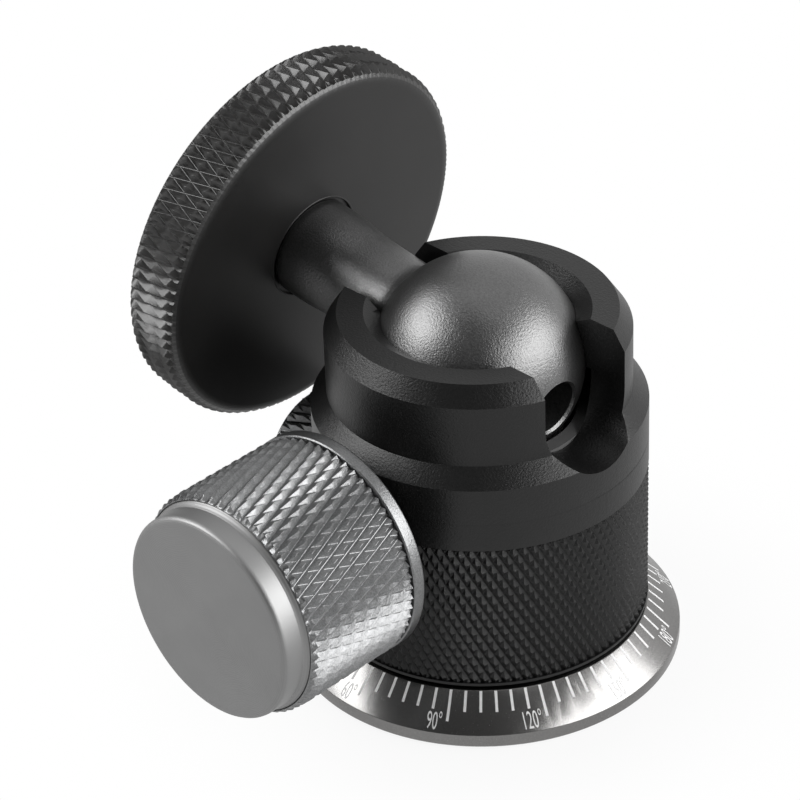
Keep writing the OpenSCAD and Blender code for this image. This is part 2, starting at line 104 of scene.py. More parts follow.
def addRings(tree, vector, spacing, distortion=0.6, detail=3):
    wave = tree.nodes.new("ShaderNodeTexWave")
    wave.wave_type = "RINGS"
    wave.rings_direction = "Z"
    wave.inputs["Scale"].default_value = 2 * math.pi / waveRate / (spacing * mm)
    wave.inputs["Distortion"].default_value = distortion
    wave.inputs["Detail"].default_value = detail
    tree.links.new(vector, wave.inputs["Vector"])
    return wave.outputs["Fac"]


def addRange(tree, value, low, high):
    ramp = tree.nodes.new("ShaderNodeMapRange")
    ramp.inputs["To Min"].default_value = low
    ramp.inputs["To Max"].default_value = high
    tree.links.new(value, ramp.inputs["Value"])
    return ramp


# where along the noise the dark tone ends and the light one begins
tintStops = (0.3, 0.7)


def addTint(tree, value, dark, light):
    ramp = tree.nodes.new("ShaderNodeValToRGB")
    for element, stop, tone in zip(ramp.color_ramp.elements, tintStops, (dark, light)):
        element.position = stop
        element.color = (*tone, 1)
    tree.links.new(value, ramp.inputs["Fac"])
    return ramp.outputs["Color"]


# Joins a finish's tone, gloss and relief to the shader
def dressShader(tree, shader, values, tone, relief):
    tint = addTint(tree, tone, values["dark"], values["light"])
    tree.links.new(tint, shader.inputs["Base Color"])
    gloss = addRange(tree, relief, *values["roughness"])
    tree.links.new(gloss.outputs["Result"], shader.inputs["Roughness"])
    bump = tree.nodes.new("ShaderNodeBump")
    bump.inputs["Distance"].default_value = values["reliefDepth"] * mm
    bump.inputs["Strength"].default_value = values["bump"]
    tree.links.new(relief, bump.inputs["Height"])
    tree.links.new(bump.outputs["Normal"], shader.inputs["Normal"])


# blasted and anodised aluminium: fine grain, faint cloudiness in tone and gloss
def blastedMetal(name, values):
    material, tree, shader, vector = startMaterial(name)
    shader.inputs["Metallic"].default_value = values["metallic"]
    shader.inputs["Specular IOR Level"].default_value = values["specular"]
    cloud = addNoise(tree, vector, values["cloudSize"], cloudDetail)
    grain = addNoise(tree, vector, values["grainSize"], roughness=blastRoughness)
    speckle = tree.nodes.new("ShaderNodeMix")
    speckle.inputs["Factor"].default_value = values["speckle"]
    tree.links.new(cloud, speckle.inputs["A"])
    tree.links.new(grain, speckle.inputs["B"])
    dressShader(tree, shader, values, speckle.outputs["Result"], grain)
    return material


# turned metal: fine rings round the axis
def turnedMetal(name, values, place=upright):
    material, tree, shader, vector = startMaterial(name, place)
    shader.inputs["Metallic"].default_value = values["metallic"]
    rings = addRings(tree, vector, values["ringSpacing"])
    cloud = addNoise(tree, vector, values["cloudSize"], cloudDetail)
    dressShader(tree, shader, values, cloud, rings)
    return material


def plainPlastic(name, values):
    material, tree, shader, vector = startMaterial(name)
    cloud = addNoise(tree, vector, values["cloudSize"], cloudDetail)
    grain = addNoise(tree, vector, values["grainSize"])
    dressShader(tree, shader, values, cloud, grain)
    return material


def grey(value, warmth=0.0):
    return (value * (1 + warmth), value, value * (1 - warmth))


housingFinish = {
    "metallic": 0.0, "specular": 0.46, "dark": grey(0.004), "light": grey(0.008),
    "cloudSize": 6, "grainSize": 0.28, "speckle": 0.6,
    "reliefDepth": 0.05, "bump": 0.9, "roughness": (0.32, 0.42),
}
platformFinish = {
    "metallic": 0.0, "specular": 0.5, "dark": grey(0.005, 0.03), "light": grey(0.01, 0.03),
    "cloudSize": 8, "grainSize": 0.22, "speckle": 0.5,
    "reliefDepth": 0.015, "bump": 0.5, "roughness": (0.38, 0.48),
}
rimFinish = {
    "metallic": 0.0, "specular": 0.8, "dark": grey(0.008, 0.04), "light": grey(0.02, 0.04),
    "cloudSize": 3, "grainSize": 0.2, "speckle": 0.7,
    "reliefDepth": 0.03, "bump": 0.7, "roughness": (0.26, 0.35),
}
ballFinish = {
    "metallic": 0.95, "specular": 0.5, "dark": grey(0.14), "light": grey(0.22),
    "cloudSize": 5, "grainSize": 0.24, "speckle": 0.7,
    "reliefDepth": 0.055, "bump": 0.9, "roughness": (0.3, 0.4),
}
knobFinish = {
    "metallic": 0.95, "specular": 0.5, "dark": grey(0.17, -0.01), "light": grey(0.31, -0.01),
    "cloudSize": 1.2, "grainSize": 0.2, "speckle": 0.8,
    "reliefDepth": 0.045, "bump": 0.9, "roughness": (0.28, 0.4),
}
dialFinish = {
    "metallic": 1.0, "specular": 0.5, "dark": grey(0.22, 0.015), "light": grey(0.3, 0.015),
    "cloudSize": 4, "grainSize": 0.15, "speckle": 0.8,
    "reliefDepth": 0.012, "bump": 0.5, "roughness": (0.2, 0.3),
}
capFinish = {
    "metallic": 0.95, "dark": grey(0.31), "light": grey(0.33), "cloudSize": 6,
    "ringSpacing": 0.22, "reliefDepth": 0.012, "bump": 0.6, "roughness": (0.48, 0.58),
}
steelFinish = {
    "metallic": 1.0, "dark": grey(0.5), "light": grey(0.58), "cloudSize": 3,
    "ringSpacing": 0.12, "reliefDepth": 0.004, "bump": 0.3, "roughness": (0.22, 0.32),
}
brassFinish = {
    "metallic": 1.0, "dark": (0.62, 0.42, 0.16), "light": (0.72, 0.52, 0.22), "cloudSize": 3,
    "ringSpacing": 0.14, "reliefDepth": 0.004, "bump": 0.3, "roughness": (0.24, 0.34),
}
# painted shade: the lock and pan bushes are coloured near-black to stand in for the shade in the gaps
# they sit in
gapShadeFinish = {
    "metallic": 1.0, "dark": grey(0.03), "light": grey(0.045), "cloudSize": 3,
    "ringSpacing": 0.14, "reliefDepth": 0.004, "bump": 0.3, "roughness": (0.34, 0.44),
}
slipFinish = {
    "dark": grey(0.62, 0.03), "light": grey(0.7, 0.03), "cloudSize": 4,
    "grainSize": 0.3, "reliefDepth": 0.01, "bump": 0.2, "roughness": (0.4, 0.5),
}
cupFinish = {
    "dark": grey(0.1), "light": grey(0.13), "cloudSize": 4,
    "grainSize": 0.2, "reliefDepth": 0.01, "bump": 0.2, "roughness": (0.3, 0.4),
}
rubberFinish = {
    "dark": grey(0.018), "light": grey(0.026), "cloudSize": 5,
    "grainSize": 0.35, "reliefDepth": 0.04, "bump": 0.6, "roughness": (0.7, 0.85),
}
paintFinish = {
    "dark": grey(0.72), "light": grey(0.8), "cloudSize": 0.6,
    "grainSize": 0.12, "reliefDepth": 0.01, "bump": 0.2, "roughness": (0.5, 0.6),
}

housingBlack = blastedMetal("housingBlack", housingFinish)
platformBlack = blastedMetal("platformBlack", platformFinish)
rimBlack = blastedMetal("rimBlack", rimFinish)
ballGrey = blastedMetal("ballGrey", ballFinish)
knobGrey = blastedMetal("knobGrey", knobFinish)
capGrey = turnedMetal("capGrey", capFinish, lockPlace)
panCapGrey = turnedMetal("panCapGrey", capFinish, panPlace)
dialGrey = blastedMetal("dialGrey", dialFinish)
steel = turnedMetal("steel", steelFinish)
lockSteel = turnedMetal("lockSteel", steelFinish, lockPlace)
neckSteel = turnedMetal("neckSteel", steelFinish, neckPlace)
brass = turnedMetal("brass", brassFinish)
# the bushes' near-black is painted shade for their gaps; each copy has its rings about its own knob's
# axis
lockGapShade = turnedMetal("lockGapShade", gapShadeFinish, lockPlace)
panGapShade = turnedMetal("panGapShade", gapShadeFinish, panPlace)
slipPlastic = plainPlastic("slipPlastic", slipFinish)
cupPlastic = plainPlastic("cupPlastic", cupFinish)
padRubber = plainPlastic("padRubber", rubberFinish)
markWhite = plainPlastic("markWhite", paintFinish)
print("materials made:", len(bpy.data.materials))

# the lock and pan bushes take the near-black of painted shade for their gaps
nodeMaterials = {
    "base_dial": dialGrey, "thread_bush": steel, "pan_spindle": steel, "spindle_screws": steel,
    "pan_washer_lower": slipPlastic, "pan_washer_upper": slipPlastic, "housing": housingBlack,
    "pan_bearing_ring": brass, "support_plate": steel, "lock_bush": lockGapShade,
    "lock_retainer": lockSteel, "lock_washer": slipPlastic, "lock_screw": lockSteel,
    "lock_knob": knobGrey, "lock_knob_washer": lockSteel, "lock_knob_screw": lockSteel,
    "lock_knob_cap": capGrey, "lock_wedge": steel, "ball_cup": cupPlastic,
    "ball_liner": slipPlastic, "ball": ballGrey, "platform": platformBlack,
    "platform_pad": padRubber, "camera_stud": neckSteel, "stud_jam_screw": neckSteel,
    "pan_bush": panGapShade, "pan_screw": steel, "pan_knob": knobGrey, "pan_knob_cap": panCapGrey,
    "pan_brake_shoe": brass,
}
for nodeName, material in nodeMaterials.items():
    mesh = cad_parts[nodeName].data
    mesh.materials.clear()
    mesh.materials.append(material)


# Lets large faces rule the shading of narrow ones beside them
def evenShading(piece):
    piece.modifiers.new("evenShading", "WEIGHTED_NORMAL").keep_sharp = True
    shaded = piece.evaluated_get(bpy.context.evaluated_depsgraph_get())
    mesh = bpy.data.meshes.new_from_object(shaded)
    piece.modifiers.clear()
    piece.data = mesh


# Makes a bmesh an object of the scene
def addShape(name, bm, materials):
    mesh = bpy.data.meshes.new(name)
    bm.to_mesh(mesh)
    bm.free()
    for material in materials:
        mesh.materials.append(material)
    shape = bpy.data.objects.new(name, mesh)
    bpy.context.scene.collection.objects.link(shape)
    return shape


# Turns a bmesh in millimetres along +Z into a finished piece in its place
def finishPiece(name, bm, place, body, materials, replaced=(), even=False):
    bmesh.ops.recalc_face_normals(bm, faces=bm.faces)
    bmesh.ops.transform(bm, matrix=place @ Matrix.Scale(mm, 4), verts=bm.verts)
    piece = addShape(name, bm, materials)
    piece.data.set_sharp_from_angle(angle=sharpAngle)
    if even:
        evenShading(piece)
    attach(piece, body)
    if replaced:
        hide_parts(*replaced)
    print("piece", name, len(piece.data.polygons), "faces")


def polar(radius, turn, height):
    return (radius * math.cos(turn), radius * math.sin(turn), height)


def fromAxis(vert):
    return math.hypot(vert.co.x, vert.co.y)


def scaleRadius(vert, factor):
    vert.co.x *= factor
    vert.co.y *= factor


# Cuts all edges and faces at a height; when cleared, what lies past it on the outward side goes
def cutLevel(bm, height, outward=1, cleared=False):
    return bmesh.ops.bisect_plane(bm, geom=bm.verts[:] + bm.edges[:] + bm.faces[:], dist=cutSlack,
                                  plane_co=(0, 0, height), plane_no=(0, 0, outward),
                                  clear_outer=cleared)


def bevelEdges(bm, edges, offset, segments=1, clamped=False):
    return bmesh.ops.bevel(bm, geom=edges, offset=offset, offset_type="OFFSET", affect="EDGES",
                           segments=segments, profile=0.5, material=-1, clamp_overlap=clamped)


# An outline of (radius, height) corners; a third number rounds that corner
def roundedOutline(corners, steps=4):
    points = []
    for index, corner in enumerate(corners):
        here = Vector(corner[:2])
        if len(corner) < 3:
            points.append(here)
            continue
        before = (Vector(corners[index - 1][:2]) - here).normalized()
        after = (Vector(corners[(index + 1) % len(corners)][:2]) - here).normalized()
        half = before.angle(after) / 2
        reach = corner[2] / math.tan(half)
        centre = here + (before + after).normalized() * corner[2] / math.sin(half)
        start = here + before * reach - centre
        end = here + after * reach - centre
        for step in range(steps + 1):
            points.append(centre + start.slerp(end, step / steps) * corner[2])
    return points


# Spins a closed or axis-to-axis outline into a solid
def turnOutline(bm, corners, segments=192, closed=False):
    outline = [bm.verts.new((point.x, 0, point.y)) for point in roundedOutline(corners)]
    pairs = list(zip(outline, outline[1:]))
    if closed:
        pairs.append((outline[-1], outline[0]))
    edges = [bm.edges.new(pair) for pair in pairs]
    before = set(bm.faces)
    bmesh.ops.spin(bm, geom=outline + edges, axis=(0, 0, 1), cent=(0, 0, 0), dvec=(0, 0, 0),
                   angle=2 * math.pi, steps=segments, use_merge=True, use_duplicate=False)
    bmesh.ops.remove_doubles(bm, verts=bm.verts, dist=fineWeld)
    for face in set(bm.faces) - before:
        face.smooth = True


def madeEdges(made):
    return [item for item in made if isinstance(item, bmesh.types.BMEdge) and item.is_boundary]


# Carries a ring of edges on through (radius, height) stations, keeping each vertex's angle
def carryRing(bm, edges, stations):
    for station in stations:
        made = bmesh.ops.extrude_edge_only(bm, edges=edges)["geom"]
        for item in made:
            if isinstance(item, bmesh.types.BMVert):
                item.co = polar(station.x, math.atan2(item.co.y, item.co.x), station.y)
            elif isinstance(item, bmesh.types.BMFace):
                item.smooth = True
                item.material_index = 0
        edges = madeEdges(made)
    return edges


# Closes the last ring of edges on the axis
def closeRing(bm, edges, height):
    verts = list({vert for edge in edges for vert in edge.verts})
    bmesh.ops.pointmerge(bm, verts=verts, merge_co=(0, 0, height))


# how far off a knurl's grid line a vertex may be, as a share of the grid's step
onLine = 1e-6


# A band of knurling: deep helical grooves one way, shallower ones across them, ridges between.
# Two rows make a pitch, phase is how far below the band the grid starts, as a share of a row,
# ridge is half a ridge's width, likewise, and channel and flat are cut either side of valleys
# and tops.
def knurlBand(bm, values):
    row = values["pitch"] / 2
    column = math.pi / values["count"]
    ridge = values["ridge"]
    start = values["low"] - row * values["phase"]
    rows = math.ceil((values["high"] - start) / row) + 1
    # rings and columns stand in pairs, either side of each crossing and each ridge's middle
    stations = [level + side * ridge for level in range(-1, rows) for side in (-1, 1)]
    ring = bmesh.ops.create_circle(bm, cap_ends=False, radius=values["radius"],
                                   segments=4 * values["count"])["verts"]
    edges = list({edge for vert in ring for edge in vert.link_edges})
    levels = [ring]
    for station in stations[1:]:
        made = bmesh.ops.extrude_edge_only(bm, edges=edges)["geom"]
        edges = madeEdges(made)
        levels.append([item for item in made if isinstance(item, bmesh.types.BMVert)])
    floors, shelves, crests = set(), set(), set()
    for station, verts in zip(stations, levels):
        for vert in verts:
            place = round(math.atan2(vert.co.y, vert.co.x) / (column / 2))
            place = (place + 1) // 2 + (-ridge if place % 2 else ridge)
            across = abs((place + station) / 2 - round((place + station) / 2))
            along = abs((place - station) / 2 - round((place - station) / 2))
            sunk = values["depth"] * max(1 - 2 * across, 1 - 2 * ridge - 2 * along, 0)
            vert.co = polar(values["radius"] - sunk, place * column, start + station * row)
            if across < onLine:
                floors.add(vert)
            elif along < onLine:
                shelves.add(vert)
            elif across > 0.5 - onLine:
                crests.add(vert)
    for chosen in (floors, shelves, crests):
        bmesh.ops.connect_verts(bm, verts=list(chosen))
    # the grooves have a narrow flat bottom and the ridges a narrow flat top
    valleys = [edge for edge in bm.edges
               if floors.issuperset(edge.verts) or shelves.issuperset(edge.verts)]
    tops = [edge for edge in bm.edges if crests.issuperset(edge.verts)]
    bevelEdges(bm, valleys, values["channel"])
    bevelEdges(bm, tops, values["flat"])
    for height, outward in ((values["low"], -1), (values["high"], 1)):
        cutLevel(bm, height, outward, cleared=True)
    for face in bm.faces:
        face.smooth = False
        face.material_index = values["material"]
    return [[edge for edge in bm.edges if edge.is_boundary
             and all(abs(vert.co.z - height) < weld for vert in edge.verts)]
            for height in (values["low"], values["high"])]


# Draws in what stands out past an outline of (height, radius) stations; the drawn-in skin is smooth
def trimBand(bm, stations):
    for height, radius in stations:
        cutLevel(bm, height)
    trimmed = set()
    for vert in bm.verts:
        for (low, lowRadius), (high, highRadius) in zip(stations, stations[1:]):
            if low - fineWeld <= vert.co.z <= high + fineWeld:
                limit = lowRadius + (highRadius - lowRadius) * (vert.co.z - low) / (high - low)
                distance = fromAxis(vert)
                if distance >= limit - fineWeld:
                    scaleRadius(vert, limit / distance)
                    trimmed.add(vert)
                break
    for face in bm.faces:
        if trimmed.issuperset(face.verts):
            face.smooth = True
            face.material_index = 0


# The stations of a rounded edge, from a flat end to the full radius
def roundStations(end, radius, rounding, rise, steps=6):
    stations = []
    for step in range(steps + 1):
        turn = math.pi / 2 * step / steps
        stations.append((end + rise * (1 - math.cos(turn)),
                         radius - rounding + rounding * math.sin(turn)))
    return sorted(stations)


# the large lock knob: a knurled sleeve with a plain collar behind, and a raised cap

lockKnob = {
    "radius": 14.5, "depth": 0.68, "count": 60, "pitch": 4.2, "phase": 0.35, "ridge": 0.145,
    "flat": 0.03, "channel": 0.055, "low": 26.95, "high": 43.45, "material": 0,
    "slopeLength": 1.0, "slopeLift": 0.01, "endRadius": 13.85,
    "rootStep": 0.1, "gap": 0.12, "collarRadius": 14.5, "collarRound": 0.08,
    "slant": 0.3, "slantRound": 0.06, "innerFace": 25.0, "backRise": 0.05, "backRound": 0.35,
    "backInset": 0.5, "backFlatRound": 0.05, "boreRadius": 3.02, "boreEnd": 42.2,
    "grooveRadius": 13.75, "grooveLip": 0.05, "grooveDepth": 0.5, "seatRadius": 12.65,
}


def makeLockKnob(values):
    bm = bmesh.new()
    low, high = knurlBand(bm, values)
    trimBand(bm, [(values["high"] - values["slopeLength"], values["radius"] + values["slopeLift"]),
                  (values["high"], values["endRadius"])])
    root = values["radius"] - values["depth"]
    foot = values["low"] - values["gap"]
    collar = values["collarRadius"]
    back = values["innerFace"]
    inner = carryRing(bm, low, roundedOutline([
        (root, values["low"]), (root - values["rootStep"], foot),
        (collar - values["gap"], foot, values["collarRound"]),
        (collar, values["low"] - values["slant"], values["slantRound"]),
        (collar, back + values["backRise"], values["backRound"]),
        (collar - values["backInset"], back, values["backFlatRound"]),
        (values["boreRadius"], back), (values["boreRadius"], values["boreEnd"])]))
    closeRing(bm, inner, values["boreEnd"])
    floor = values["high"] - values["grooveDepth"]
    outer = carryRing(bm, high, roundedOutline([
        (values["grooveRadius"], values["high"] - values["grooveLip"]),
        (values["grooveRadius"], floor), (values["seatRadius"], floor),
        (values["boreRadius"], floor)]))
    closeRing(bm, outer, floor)
    finishPiece("lockKnobSleeve", bm, lockPlace, "lock", [knobGrey], ["lock_knob"])


makeLockKnob(lockKnob)

lockCap = {
    "radius": 13.2, "foot": 42.6, "face": 47.0, "edge": 0.8,
    "shoulderRadius": 13.68, "shoulder": 43.75, "shoulderRound": 0.12, "slopeHalf": 0.35,
    "fillet": 0.12, "filletRise": 0.1, "filletRound": 0.15, "sideRound": 0.1, "segments": 224,
}


def makeLockCap(values):
    bm = bmesh.new()
    shoulder = values["shoulder"]
    turnOutline(bm, [
        (0, values["foot"]), (values["shoulderRadius"], values["foot"]),
        (values["shoulderRadius"], shoulder - values["slopeHalf"], values["shoulderRound"]),
        (values["radius"] + values["fillet"], shoulder + values["filletRise"], values["filletRound"]),
        (values["radius"], shoulder + values["slopeHalf"], values["sideRound"]),
        (values["radius"], values["face"], values["edge"]),
        (0, values["face"])], values["segments"])
    finishPiece("lockKnobCap", bm, lockPlace, "lock", [capGrey], ["lock_knob_cap"])


makeLockCap(lockCap)

# the small pan knob

panKnob = {
    "radius": 8.8, "depth": 0.58, "count": 36, "pitch": 4.2, "phase": 0.5, "ridge": 0.145,
    "flat": 0.03, "channel": 0.055, "low": 22.9, "high": 29.8, "material": 0,
    "rootStep": 0.1, "gap": 0.12, "collarRound": 0.08, "slant": 0.3, "slantRound": 0.06,
    "innerFace": 21.9, "outerFace": 30.4, "endRound": 0.3, "endInset": 0.5,
    "boreRadius": 2.52, "boreEnd": 28.4, "plugRadius": 6.42, "plugDepth": 1.2,
}


def makePanKnob(values):
    bm = bmesh.new()
    low, high = knurlBand(bm, values)
    radius = values["radius"]
    step = values["rootStep"]
    root = radius - values["depth"] - step
    back = values["innerFace"]
    face = values["outerFace"]
    inner = carryRing(bm, low, roundedOutline([
        (root, values["low"] - step),
        (radius - step, values["low"] - values["gap"], values["collarRound"]),
        (radius, values["low"] - values["slant"], values["slantRound"]),
        (radius, back, values["endRound"]),
        (values["boreRadius"], back), (values["boreRadius"], values["boreEnd"])]))
    closeRing(bm, inner, values["boreEnd"])
    plugFloor = face - values["plugDepth"]
    outer = carryRing(bm, high, roundedOutline([
        (root, values["high"] + step), (radius - values["endInset"], face, values["endRound"]),
        (values["plugRadius"], face), (values["plugRadius"], plugFloor)]))
    closeRing(bm, outer, plugFloor)
    finishPiece("panKnobSleeve", bm, panPlace, "pan_lock", [knobGrey], ["pan_knob"])


makePanKnob(panKnob)

# the platform, with the pad on its top

platformDisc = {
    "radius": 25.0, "depth": 0.85, "count": 96, "pitch": 5.5, "phase": 0.3, "ridge": 0.05,
    "flat": 0.03, "channel": 0.05, "low": 28.5, "high": 37.1, "material": 1,
    "rimRound": 2.2, "rimRise": 2.0, "recessRadius": 7.2, "recessDepth": 0.8, "recessRound": 0.12,
    "spigotRadius": 5.05, "spigotEnd": 33.0, "padRadius": 22.02, "padSeat": 36.5, "padRound": 0.1,
    "holeRadius": 3.02,
}


def makePlatform(values):
    bm = bmesh.new()
    low, high = knurlBand(bm, values)
    for end, rise in ((values["low"], values["rimRise"]), (values["high"], -values["rimRise"])):
        trimBand(bm, roundStations(end, values["radius"], values["rimRound"], rise))
    recess = values["low"] + values["recessDepth"]
    carryRing(bm, low, roundedOutline([
        (values["recessRadius"], values["low"], values["recessRound"]),
        (values["recessRadius"], recess),
        (values["spigotRadius"], recess), (values["spigotRadius"], values["spigotEnd"]),
        (values["holeRadius"], values["spigotEnd"]), (values["holeRadius"], values["padSeat"])]))
    carryRing(bm, high, roundedOutline([
        (values["padRadius"], values["high"], values["padRound"]),
        (values["padRadius"], values["padSeat"]), (values["holeRadius"], values["padSeat"])]))
    bmesh.ops.remove_doubles(bm, verts=bm.verts, dist=weld)
    finishPiece("platformDisc", bm, neckPlace, "platform",
                [platformBlack, rimBlack], ["platform"])


makePlatform(platformDisc)

padDisc = {
    "radius": 22.0, "hole": 3.1, "bottom": 36.5, "top": 37.7, "edge": 0.3, "holeEdge": 0.1,
    "grooves": 6, "margins": 4, "firstGroove": 2.4, "grooveHalf": 0.35, "grooveDepth": 0.35,
    "grooveEdge": 0.08, "grooveRound": 0.1, "segments": 160,
}


def makePad(values):
    bm = bmesh.new()
    top = values["top"]
    half = values["grooveHalf"]
    corners = [(values["hole"], values["bottom"]), (values["radius"], values["bottom"]),
               (values["radius"], top, values["edge"])]
    spacing = (values["radius"] - values["margins"] - values["hole"]) / values["grooves"]
    for groove in range(values["grooves"]):
        centre = values["radius"] - values["firstGroove"] - groove * spacing
        corners += [(centre + half, top, values["grooveEdge"]),
                    (centre, top - values["grooveDepth"], values["grooveRound"]),
                    (centre - half, top, values["grooveEdge"])]
    corners.append((values["hole"], top, values["holeEdge"]))
    turnOutline(bm, corners, values["segments"], closed=True)
    finishPiece("gripPad", bm, neckPlace, "platform", [padRubber], ["platform_pad"])


makePad(padDisc)

# the ball and its neck

ballNeck = {
    "radius": 13.2, "waist": 6.05, "endRadius": 6.5, "length": 29.3, "endRound": 0.35,
    "spigotRadius": 5.0, "spigotEnd": 32.7, "bore": 3.05,
    "keyHole": 3.5, "keyChamfer": 0.3, "keyDepth": 13.5,
    "flare": 0.4, "flareLength": 1.8, "waistLength": 8, "plainEnd": 3.0,
    "arcSteps": 72, "neckSteps": 32,
}


def makeBall(values):
    bm = bmesh.new()
    radius = values["radius"]
    mouthAngle = math.asin((values["keyHole"] + values["keyChamfer"]) / radius)
    footAngle = math.pi - math.asin((values["waist"] + values["flare"]) / radius)
    corners = [(values["bore"], values["spigotEnd"]), (values["bore"], values["keyDepth"]),
               (values["keyHole"], values["keyDepth"]),
               (values["keyHole"], values["keyChamfer"] - radius * math.cos(mouthAngle))]
    for step in range(values["arcSteps"] + 1):
        angle = mouthAngle + (footAngle - mouthAngle) * step / values["arcSteps"]
        corners.append((radius * math.sin(angle), -radius * math.cos(angle)))
    foot = -radius * math.cos(footAngle)
    length = values["length"]
    neck = length - values["plainEnd"] - foot
    # the neck narrows from a short flare, then widens smoothly again towards the platform
    for step in range(1, values["neckSteps"] + 1):
        along = neck * step / values["neckSteps"]
        hollow = values["flare"] * max(0, 1 - along / values["flareLength"]) ** 2
        rise = max(0, (along - values["waistLength"]) / (neck - values["waistLength"]))
        widening = (values["endRadius"] - values["waist"]) * rise * rise * (3 - 2 * rise)
        corners.append((values["waist"] + hollow + widening, foot + along))
    corners += [(values["endRadius"], length, values["endRound"]), (values["spigotRadius"], length),
                (values["spigotRadius"], values["spigotEnd"])]
    turnOutline(bm, corners, closed=True)
    finishPiece("ballAndNeck", bm, neckPlace, "ball", [ballGrey], ["ball"])


makeBall(ballNeck)

# the camera stud; its crest is given by start, middle and end as shares of the pitch

cameraStud = {
    "radius": 3.175, "pitch": 1.27, "depth": 0.7, "bottom": 37.75, "top": 43.0, "tip": 0.6,
    "crestDrop": 0.04, "crest": (0.42, 0.5, 0.58), "threadSteps": 40,
    "shank": 3.0, "shankFrom": 19.0, "shankEdge": 0.3, "shankLap": 0.1, "shankSegments": 64,
}


# A helical thread of sharp crests between two heights, closed at both ends
def threadSolid(bm, values):
    radius, pitch, low, high = (values[key] for key in ("radius", "pitch", "bottom", "top"))
    steps = values["threadSteps"]
    turns = math.ceil((high - low) / pitch) + 2
    root = radius - values["depth"]
    flank = radius - values["crestDrop"]
    rise, middle, fall = values["crest"]
    points = [(root, 0), (flank, pitch * rise), (radius, pitch * middle), (flank, pitch * fall),
              (root, pitch)]
    verts = [bm.verts.new((x, 0, low - pitch + z)) for x, z in points]
    edges = [bm.edges.new(pair) for pair in zip(verts, verts[1:])]
    bmesh.ops.spin(bm, geom=verts + edges, axis=(0, 0, 1), cent=(0, 0, 0),
                   dvec=(0, 0, pitch / steps), angle=2 * math.pi * turns, steps=steps * turns,
                   use_merge=False, use_duplicate=False)
    bmesh.ops.remove_doubles(bm, verts=bm.verts, dist=weld)
    for height, outward in ((low, -1), (high, 1)):
        cut = cutLevel(bm, height, outward, cleared=True)["geom_cut"]
        edges = [item for item in cut if isinstance(item, bmesh.types.BMEdge)]
        bmesh.ops.contextual_create(bm, geom=edges)
    for face in bm.faces:
        face.smooth = True


def makeStud(values):
    bm = bmesh.new()
    threadSolid(bm, values)
    for vert in bm.verts:
        limit = values["radius"] - values["tip"] + (values["top"] - vert.co.z)
        distance = fromAxis(vert)
        if distance > limit:
            scaleRadius(vert, limit / distance)
    shank = values["shank"]
    shankTo = values["bottom"] + values["shankLap"]
    turnOutline(bm, [(0, values["shankFrom"]), (shank, values["shankFrom"], values["shankEdge"]),
                     (shank, shankTo), (0, shankTo)], values["shankSegments"])
    finishPiece("cameraStud", bm, neckPlace, "platform", [neckSteel], ["camera_stud"])


makeStud(cameraStud)

# the housing: the frame's own solid with its edges broken

housingShell = {
    "edge": 0.16, "edgeSegments": 2, "sharpFrom": 24,
    "slotEdge": 0.42, "slotSegments": 4, "slotHalf": 7.1, "slotFrom": 10,
    "seamHeight": 30.6, "seamWidth": 0.09, "seamDepth": 0.06, "seamFrom": 20.85,
    "knurlRoot": 20.6, "knurlBed": 20.35,
}


def copyNode(node):
    bm = bmesh.new()
    bm.from_mesh(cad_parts[node].data)
    bmesh.ops.scale(bm, vec=(1 / mm, 1 / mm, 1 / mm), verts=bm.verts)
    bmesh.ops.remove_doubles(bm, verts=bm.verts, dist=weld)
    bmesh.ops.dissolve_limit(bm, angle_limit=flatAngle, use_dissolve_boundaries=False,
                             verts=bm.verts, edges=bm.edges, delimit={"NORMAL"})
    return bm


def sharpEdges(bm, degrees):
    limit = math.radians(degrees)
    return [edge for edge in bm.edges if edge.is_manifold and edge.calc_face_angle() > limit]


def breakEdges(bm, values, kept=frozenset()):
    sharp = [edge for edge in sharpEdges(bm, values["sharpFrom"])
             if not kept.intersection(edge.link_faces)]
    bevelEdges(bm, sharp, values["edge"], values["edgeSegments"], clamped=True)
    for face in bm.faces:
        face.smooth = True


# The neck slots' edges have a wider rounding than the rest
def roundSlots(bm, values):
    def onSlot(vert):
        below = min(vert.co.z - layout["ballHeight"], 0)
        offWall = abs(math.hypot(vert.co.y, below) - values["slotHalf"])
        return abs(vert.co.x) > values["slotFrom"] and offWall < near
    sharp = [edge for edge in sharpEdges(bm, values["sharpFrom"])
             if all(onSlot(vert) for vert in edge.verts)]
    made = bevelEdges(bm, sharp, values["slotEdge"], values["slotSegments"], clamped=True)
    return set(made["faces"])


def makeHousing(values):
    bm = copyNode("housing")
    for vert in bm.verts:
        distance = fromAxis(vert)
        if abs(distance - values["knurlRoot"]) < near:
            scaleRadius(vert, values["knurlBed"] / distance)
    slotRounds = roundSlots(bm, values)
    breakEdges(bm, values, slotRounds)
    for offset in (-values["seamWidth"], 0, values["seamWidth"]):
        cutLevel(bm, values["seamHeight"] + offset)
    for vert in bm.verts:
        distance = fromAxis(vert)
        if abs(vert.co.z - values["seamHeight"]) < weld and distance > values["seamFrom"]:
            scaleRadius(vert, (distance - values["seamDepth"]) / distance)
    finishPiece("socketHousing", bm, upright, "head", [housingBlack],
                ["housing"], even=True)


makeHousing(housingShell)

barrelKnurl = {
    "radius": 20.9, "depth": 0.45, "count": 100, "pitch": 2.3, "phase": 0.5, "ridge": 0.12,
    "flat": 0.04, "channel": 0.04, "low": 6.9, "high": 26.55, "material": 0, "inside": 20.2,
}


